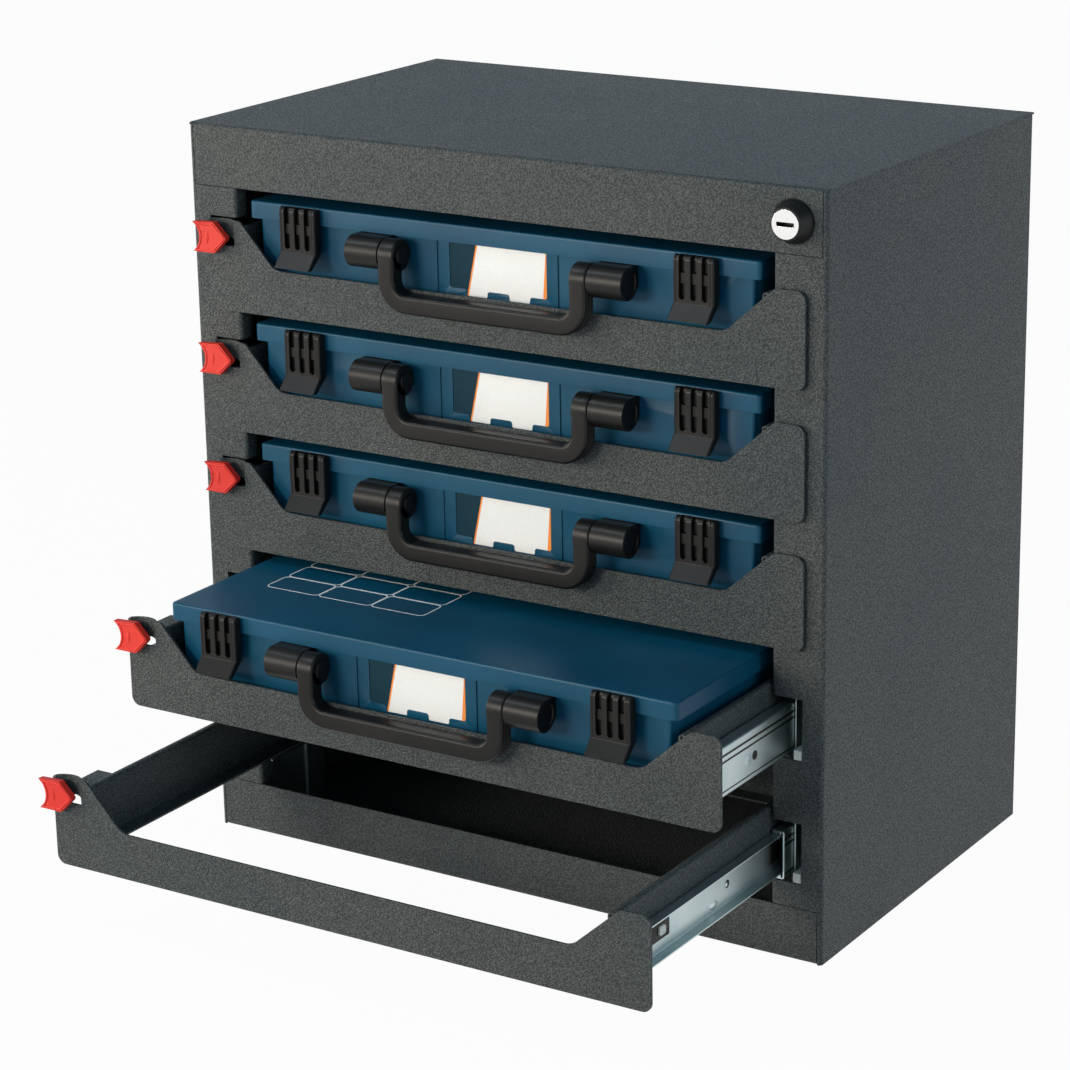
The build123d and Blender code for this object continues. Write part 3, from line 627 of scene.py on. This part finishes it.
def handle(number):
    """The handle: an oblong section with soft edges carried round a U of legs, quarter bends
    and grip, with grooves between the ribs on its outer face, and at the top of each leg a
    hub turned round the pivot from a profile with quarter-round edges, a boss, and a ring on
    its flat end that keeps the shading there flat."""
    down = np.linspace(0, 1, 10)
    bend = np.linspace(0, np.pi / 2, 21)[1:]
    along = np.linspace(0, 1, 9)[1:]
    span = LEG_X - GRIP_BEND
    drop = HUB_Z - GRIP_Z - GRIP_BEND
    leg_x = np.full(len(down), -LEG_X)
    bend_x = -LEG_X + GRIP_BEND * (1 - np.cos(bend))
    half_x = np.concatenate([leg_x, bend_x, span * (along - 1)])
    bend_z = GRIP_Z + GRIP_BEND * (1 - np.sin(bend))
    half_z = np.concatenate([HUB_Z - drop * down, bend_z, np.full(len(along), GRIP_Z)])
    path_x = np.concatenate([half_x, -half_x[-2::-1]])
    path_z = np.concatenate([half_z, half_z[-2::-1]])
    path = np.stack([path_x, np.full(len(path_x), LEG_Y), path_z], -1)
    flow = np.gradient(path, axis=0)
    flow /= np.linalg.norm(flow, axis=1)[:, None]
    outward = np.stack([flow[:, 2], np.zeros(len(flow)), -flow[:, 0]], -1)

    flank = np.linspace(-1, 1, 61)[1:-1] * (LEG_HALF - LEG_EDGE)
    outline = rounded_outline(LEG_HALF, LEG_HALF, LEG_EDGE, 7)
    section = np.concatenate([outline, np.stack([np.full(len(flank), LEG_HALF), flank], 1)])
    section = section[np.argsort(np.arctan2(section[:, 1], section[:, 0]))]
    nearest = np.abs(np.mod(section[:, 1], RIB_PITCH) - RIB_PITCH / 2)
    groove = 1 - step(nearest, *RIB_GROOVE)
    on_face = step(section[:, 0], RIB_START, LEG_HALF) * (np.abs(section[:, 1]) < RIB_BAND)
    section[:, 0] -= RIB_DEPTH * groove * on_face
    rings = path[:, None] + outward[:, None] * section[None, :, :1]
    rings[:, :, 1] += section[None, :, 1]
    shells = Shells().grid(rings, wrap_columns=True, caps=True)

    curve = np.linspace(0, np.pi / 2, 6)
    near_edge = np.stack([np.sin(curve), -np.cos(curve)], 1) * HUB_EDGE
    far_edge = np.stack([np.cos(curve), np.sin(curve)], 1) * HUB_EDGE
    boss_end = -LEG_HALF - BOSS_RISE
    profile = np.concatenate(
        [
            [(0, boss_end), (BOSS_RADIUS - BOSS_EDGE, boss_end)],
            [(BOSS_RADIUS, boss_end + BOSS_EDGE), (BOSS_RADIUS, -LEG_HALF)],
            near_edge + [HUB_RADIUS - HUB_EDGE, HUB_EDGE - LEG_HALF],
            far_edge + [HUB_RADIUS - HUB_EDGE, LEG_HALF - HUB_EDGE],
            [(HUB_FLAT, LEG_HALF), (0, LEG_HALF)],
        ]
    )
    for sign in (-1, 1):
        hub = turned(profile, (sign * LEG_X, HUB_Y, HUB_Z), (sign, 0, 0))
        shells.grid(hub, wrap_columns=True)
    piece = shells.piece(f"grip_{number}", black_plastic, drawer_place(number), 40)
    return seat(piece, f"handle_{number}", "black_plastic", f"handle_{number}")


def latch(number, side_name, centre_x):
    """A latch: two height fields over one grid of x and z, joined round the rim. The front
    is a plate less the troughs, the eased sides and a border line, the top rolls back as a
    quarter circle, and the lip below flares forwards as a straight slope."""
    xs = np.linspace(-LATCH_HALF, LATCH_HALF, 123)
    turn = np.linspace(0, np.pi / 2, 14)[1:]
    plain = np.linspace(LATCH_LOW, LATCH_PIVOT, 130)
    zs = np.concatenate([plain, LATCH_PIVOT + LATCH_ROLL * np.sin(turn)])
    x, z = np.meshgrid(xs, zs, indexing="ij")

    lip = np.clip((LATCH_LOW + LATCH_LIP - z) / LATCH_LIP, 0, 1)
    rise = np.clip((z - LATCH_PIVOT) / LATCH_ROLL, 0, 1)
    rolled = LATCH_ROLL * (1 - np.sqrt(np.clip(1 - rise**2, 0, 1)))

    inside = np.zeros_like(x)
    for column in (-1, 0, 1):
        across = np.abs(x - column * TROUGH_PITCH)
        foot = np.hypot(across, np.minimum(z - TROUGH_LOW, 0))
        inside = np.maximum(inside, 1 - step(foot, TROUGH_HALF - TROUGH_EDGE, TROUGH_HALF))
    low, high = TROUGH_STEP
    shallow = step(z, low, low + TROUGH_STEP_EDGE) * (1 - step(z, high - TROUGH_STEP_EDGE, high))
    fade = np.sqrt(np.clip(1 - (rolled / LATCH_ROLL) ** 2, 0, 1))
    trough = inside * TROUGH_DEPTH * (1 - TROUGH_STEP_SHARE * shallow) * fade
    eased = step(np.abs(x), *LATCH_SIDE) * LATCH_SIDE_DROP
    line = 1 - step(np.abs(np.abs(x) - BORDER_X), *BORDER_HALF)
    border = BORDER_DEPTH * line * (lip == 0)

    front = LATCH_BACK - LATCH_THICK - LATCH_FLARE * lip + trough + eased + border + rolled
    back = LATCH_BACK - (LATCH_THICK + LATCH_FLARE - LATCH_LIP_THICK) * lip - rolled
    near = np.stack([x + centre_x, front, z], -1)
    far = np.stack([x + centre_x, back, z], -1)
    body = f"latch_{side_name}_{number}"
    piece = Shells().plate(near, far).piece(
        f"catch_{side_name}_{number}", black_plastic, drawer_place(number), 50
    )
    return seat(piece, body, "black_plastic", body)


def lid_plan(number):
    """A plain plan of the compartments on the lid: oblongs with round corners, each line an
    upright oblong section carried round its outline."""
    shells = Shells()
    for x in PLAN_CENTRES_X:
        for y in PLAN_CENTRES_Y:
            loop = rounded_outline(*PLAN_HALF, PLAN_CORNER, 6) + [x, y]
            side = sideways(loop) * PLAN_LINE_HALF
            inner, outer = loop - side, loop + side
            low, high = (np.full((len(loop), 1), level) for level in (PLAN_LOW, PLAN_HIGH))
            section = [(inner, low), (outer, low), (outer, high), (inner, high)]
            rings = np.stack([np.hstack(corner) for corner in section], 1)
            shells.grid(rings, wrap_rows=True, wrap_columns=True)
    piece = shells.piece(f"lid_plan_{number}", white_ink, drawer_place(number))
    return seat(piece, f"drawer_{number}", "blue_plastic")


def label_card(number):
    """The card in the pocket: a thin plate between straight lines that run from its foot to
    its head, and a face's strip follows from the lines that its centre has passed."""
    place = drawer_place(number)
    columns = np.stack([CARD_FOOT, CARD_HEAD])
    levels = np.broadcast_to(np.array([[CARD_LOW], [CARD_HIGH]]), columns.shape)
    near = np.stack([columns, np.full(columns.shape, CARD_FRONT), levels], -1)
    shells = Shells().plate(near, near + [0, CARD_THICK, 0])
    piece = shells.piece(f"label_card_{number}", teal_card, place)
    piece.data.materials.append(orange_card)
    piece.data.materials.append(white_card)
    x, _, z = ((face_centres(piece.data) - place) / MM).T
    share = (z - CARD_LOW) / (CARD_HIGH - CARD_LOW)
    lines = CARD_FOOT + (CARD_HEAD - CARD_FOOT) * share[:, None]
    strip = (x[:, None] > lines[:, 1:-1]).sum(1)
    strip_material = np.array([0, 1, 2, 1], np.int32)
    piece.data.polygons.foreach_set("material_index", strip_material[strip])
    return seat(piece, f"drawer_{number}", "blue_plastic")


def lever_face(number):
    """The thumb lever's face: a round bead carried along its outline, which is straight
    runs and a hollow tail arc blurred over seven points and drawn in, and a raised lens
    whose thickness is (1 - s squared) x (1 - t squared)."""
    middle = (LEVER_HIGH + LEVER_LOW) / 2
    bow = np.linspace(np.pi * 0.5, -np.pi * 0.5, 25)
    corners = np.array(
        [
            (-LEVER_TAIL, LEVER_HIGH - LEVER_TAIL_DROP),
            (LEVER_NECK, LEVER_HIGH),
            (LEVER_TIP, middle),
            (LEVER_NECK, LEVER_LOW),
            (-LEVER_TAIL, LEVER_LOW),
        ]
    )
    share = np.linspace(0, 1, 24, endpoint=False)[:, None]
    runs = [a + (b - a) * share for a, b in zip(corners[:-1], corners[1:])]
    arc_x = -LEVER_TAIL + LEVER_HOLLOW * np.cos(bow)
    arc_z = middle - (LEVER_HIGH - LEVER_LOW) / 2 * np.sin(bow)
    loop = np.concatenate(runs + [np.stack([arc_x, arc_z], 1)])
    wrapped = np.concatenate([loop[-3:], loop, loop[:3]])
    blur = np.ones(7) / 7
    loop = np.stack([np.convolve(wrapped[:, i], blur, "valid") for i in (0, 1)], 1)
    centre = loop.mean(0)
    reach = np.linalg.norm(loop - centre, axis=1)[:, None]
    rim = centre + (loop - centre) * (1 - RIM_INSET / reach)

    swell = np.linspace(0, 2 * np.pi, 9)[:-1]
    across = RIM_HALF * np.cos(swell)
    flat = rim[:, None] + sideways(rim)[:, None] * across[None, :, None]
    depth = np.broadcast_to(LEVER_FRONT - RIM_RISE * np.sin(swell), flat.shape[:2])
    rings = np.stack([flat[..., 0] - PLATE_EDGE, depth, flat[..., 1]], -1)
    shells = Shells().grid(rings, wrap_rows=True, wrap_columns=True)

    s, t = np.meshgrid(np.linspace(-1, 1, 13), np.linspace(-1, 1, 25), indexing="ij")
    x = LENS_X - PLATE_EDGE + LENS_HALF_X * s * (1 - t**2)
    for rise in LENS_FACES:
        y = LEVER_FRONT + rise * (1 - s**2) * (1 - t**2)
        shells.grid(np.stack([x, y, middle + LENS_HALF_Z * t], -1))
    piece = shells.piece(f"lever_face_{number}", red_plastic, drawer_place(number), 60)
    return seat(piece, f"lever_{number}", "red_plastic")


def slide_head(shells, face_x, measures, outwards):
    """A low domed head on a side face: its rise falls with the square of the radius, and it
    is turned round an axis across the drawer."""
    y, z, radius, rise, stretch = measures
    share = np.linspace(0, 1, 7)
    dome = np.stack([radius * share, rise * (1 - share**2)], 1)
    profile = np.concatenate([dome, [(radius, -HEAD_SUNK), (0, -HEAD_SUNK)]])
    points = turned(profile, np.zeros(3), (outwards, 0, 0), 28)
    points[..., 1] *= stretch
    return shells.grid(points + (face_x, y, z), wrap_columns=True)


def slide_block(shells, side, face_x, measures):
    """A block on a side face: a rounded outline carried straight outwards and drawn in a
    little over the last step."""
    (y0, z0), (y1, z1), start, end, corner = measures
    outline = rounded_outline((y1 - y0) / 2, (z1 - z0) / 2, corner, 5)
    outline = outline + [(y0 + y1) / 2, (z0 + z1) / 2]
    drawn_in = (outline - outline.mean(0)) * BLOCK_TOP_SHARE + outline.mean(0)
    layers = [(outline, start), (outline, end - BLOCK_EASE), (drawn_in, end)]
    rings = [
        np.column_stack([np.full(len(flat), side * (face_x + out)), flat]) for flat, out in layers
    ]
    return shells.grid(np.stack(rings), wrap_columns=True, caps=True)


def slide_fittings(number):
    """What sits on the slides' side faces: a pressed dimple, screws and a rivet, a black disc of
    painted shade round each screw for its hole, the black front stop with its pale hook, a black
    buffer, and on the middle member black strips of painted shade along its grooves, a rivet and
    a black disc of painted shade for its hole."""
    place = drawer_place(number)
    member_start = np.array([0.0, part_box(f"slide_middle_{number}")[0].y, place[2]])
    screws, stops_and_hole_shade, hooks, groove_shade, rivets, holes = (Shells() for _ in range(6))
    for side in (-1, 1):
        slide_head(screws, side * INNER_WEB, DIMPLE, side)
        slide_head(screws, side * TRAY_WALL, TRAY_SCREW, -side)
        slide_head(screws, side * TRAY_WALL, TRAY_RIVET, -side)
        # Painted shade: a black disc round the screw for its hole
        slide_head(stops_and_hole_shade, side * INNER_WEB, SCREW_HOLE, side)
        slide_head(screws, side * INNER_WEB, SCREW, side)
        slide_block(stops_and_hole_shade, side, INNER_WEB, FRONT_STOP)
        slide_block(hooks, side, INNER_WEB, STOP_HOOK)
        slide_block(stops_and_hole_shade, side, INNER_WEB, REAR_BUFFER)
        # Painted shade: thin black strips along the middle member's grooves
        for track in GROOVE_SHADES:
            slide_block(groove_shade, side, MIDDLE_WEB, track)
        slide_head(rivets, side * MIDDLE_WEB, MIDDLE_RIVET, side)
        # Painted shade: a black disc for the middle member's hole
        slide_head(holes, side * MIDDLE_WEB, MIDDLE_HOLE, side)
    for shells, name, slot, body, start in (
        (screws, "slide_screws", "zinc_steel", "drawer", place),
        (stops_and_hole_shade, "slide_stops", "black_plastic", "drawer", place),
        (hooks, "slide_hooks", "white_nylon", "drawer", place),
        (groove_shade, "slide_tracks", "black_plastic", "slide_middle", member_start),
        (rivets, "slide_rivets", "zinc_steel", "slide_middle", member_start),
        (holes, "slide_hole_shade", "black_plastic", "slide_middle", member_start),
    ):
        piece = shells.piece(f"{name}_{number}", SLOT_FINISH[slot], start)
        seat(piece, f"{body}_{number}", slot)


def finished_node(name):
    """The eased copy that stands for a CAD node: a lever's arm behind its plate is painted black
    as shade, a case's corners are tightened, a lid loses its lugs and the lock's slot is painted
    black as shade."""
    front = drawer_place(int(name[-1]))[1] if name[-1].isdigit() else FRONT
    width = PLASTIC_EDGE if name.startswith(ROUNDER_PIECES) else SHEET_EDGE
    if name.startswith("catch_lever"):
        # Painted shade: the lever's arm behind its plate is coloured black
        eased_copy(name, LEVER_EDGE, lambda y: y > front + LEVER_ARM * MM)
    elif name.startswith("case_lid"):
        eased_copy(name, width, cut=front + LUG_CUT * MM, corners=CASE_CORNERS)
    elif name.startswith("case_base"):
        eased_copy(name, width, corners=CASE_CORNERS)
    elif name == "lock_barrel":
        face_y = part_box(name)[0].y
        # Painted shade: the lock barrel's key slot is coloured black
        eased_copy(name, LOCK_EDGE, lambda y: y > face_y + LOCK_FACE_DEPTH * MM)
    else:
        eased_copy(name, width)


REMADE = ("handle", "latch_left", "latch_right")
remade_nodes = {f"{name}_{number}" for name in REMADE for number in CASES}
for node_name in list(frame["nodes"]):
    if node_name not in remade_nodes:
        finished_node(node_name)
for number in DRAWERS:
    lever_face(number)
    slide_fittings(number)
for number in CASES:
    handle(number)
    lid_plan(number)
    label_card(number)
    latch(number, "left", -LATCH_X)
    latch(number, "right", LATCH_X)

# Setting: white paper below, a white room, two warm lamps on the left and in front, and two
# weak cool ones on the right and above
floor_mesh = bpy.data.meshes.new("floor")
corners = [(-1, -1), (1, -1), (1, 1), (-1, 1)]
floor_corners = [(x * FLOOR_HALF, y * FLOOR_HALF, 0) for x, y in corners]
floor_mesh.from_pydata(floor_corners, [], [(0, 1, 2, 3)])
shown("floor", floor_mesh)


def seen_directly(start, shine=1.0):
    """1 for a ray from the camera, shine for one off a gloss or through glass, else 0."""
    path = start.add_node("ShaderNodeLightPath")
    bounced = start.out(path, "Is Glossy Ray") + start.out(path, "Is Transmission Ray")
    return (bounced * shine).maths("ADD", start.out(path, "Is Camera Ray"), True)


paper = bpy.data.materials.new("white_paper")
paper.use_nodes = True
tree = paper.node_tree
surface = tree.nodes["Principled BSDF"]
surface.inputs["Base Color"].default_value = (0.6, 0.6, 0.6, 1)
surface.inputs["Roughness"].default_value = 0.9
surface.inputs["Specular IOR Level"].default_value = 0.0
start = Wire(tree, surface.outputs[0])
glow = start.add_node("ShaderNodeEmission", None, Strength=1.0)
share = seen_directly(start) * FLOOR_GLOW
blend = start.add_node("ShaderNodeMixShader", None, i0=share, i1=start, i2=start.out(glow))
tree.links.new(blend.outputs[0], tree.nodes["Material Output"].inputs["Surface"])
floor_mesh.materials.append(paper)

world = bpy.data.worlds.new("studio")
bpy.context.scene.world = world
world.use_nodes = True
tree = world.node_tree
room = tree.nodes["Background"]
start = Wire(tree, room.outputs[0])
direction = start.out(start.add_node("ShaderNodeTexCoord"), "Generated")
height = start.out(start.add_node("ShaderNodeSeparateXYZ", None, Vector=direction), "Z")
overhead = height.smooth(0.0, 0.8)
tree.links.new(overhead.mix((0.52, 0.66, 0.72), (0.17, 0.28, 0.38)).socket, room.inputs["Color"])
room.inputs["Strength"].default_value = 0.8
white = start.add_node("ShaderNodeBackground", None, Color=(1, 1, 1, 1), Strength=1.0)
walls = 1.0 - height.smooth(0.02, 0.30) * 0.9
seen = seen_directly(start, walls)
blend = start.add_node("ShaderNodeMixShader", None, i0=seen, i1=start, i2=start.out(white))
tree.links.new(blend.outputs[0], tree.nodes["World Output"].inputs["Surface"])


def lamp(name, place, aim, size, power, colour):
    """A rectangular lamp at a place, turned to shine at its aim."""
    light = bpy.data.lights.new(name, "AREA")
    light.shape = "RECTANGLE"
    light.size, light.size_y = size
    light.energy = power
    light.color = colour
    holder = shown(name, light)
    holder.location = place
    direction = Vector(aim) - Vector(place)
    holder.rotation_euler = direction.to_track_quat("-Z", "Y").to_euler()


lamp("left_lamp", (-2.1, -1.5, 0.75), (0, -0.2, 0.3), size=(1.2, 0.8), power=34, colour=WARM)
lamp("front_lamp", (-0.9, -2.5, 0.95), (0.2, -0.2, 0.25), size=(0.8, 0.5), power=34, colour=WARM)
lamp("right_lamp", (2.3, -0.5, 0.9), (0.2, 0, 0.2), size=(1.0, 0.8), power=9, colour=COOL)
lamp("high_lamp", (-1.15, -0.85, 2.1), (0, 0, 0.4), size=(0.3, 0.3), power=8, colour=CLEAR)

camera_data = bpy.data.cameras.new("camera")
camera = shown("camera", camera_data)
turn = Matrix(np.stack([RIGHT, -DOWN, -AHEAD], 1).tolist()).to_4x4()
turn.translation = CAMERA_PLACE
camera.matrix_world = turn
camera_data.sensor_width = SENSOR
camera_data.lens = FOCAL_PIXELS / FRAME_PIXELS * SENSOR
camera_data.shift_x = (FRAME_PIXELS / 2 - CENTRE_PIXELS[0]) / FRAME_PIXELS
camera_data.shift_y = (CENTRE_PIXELS[1] - FRAME_PIXELS / 2) / FRAME_PIXELS
camera_data.clip_start = 0.05
bpy.context.scene.camera = camera
bpy.context.scene.view_settings.view_transform = "Standard"
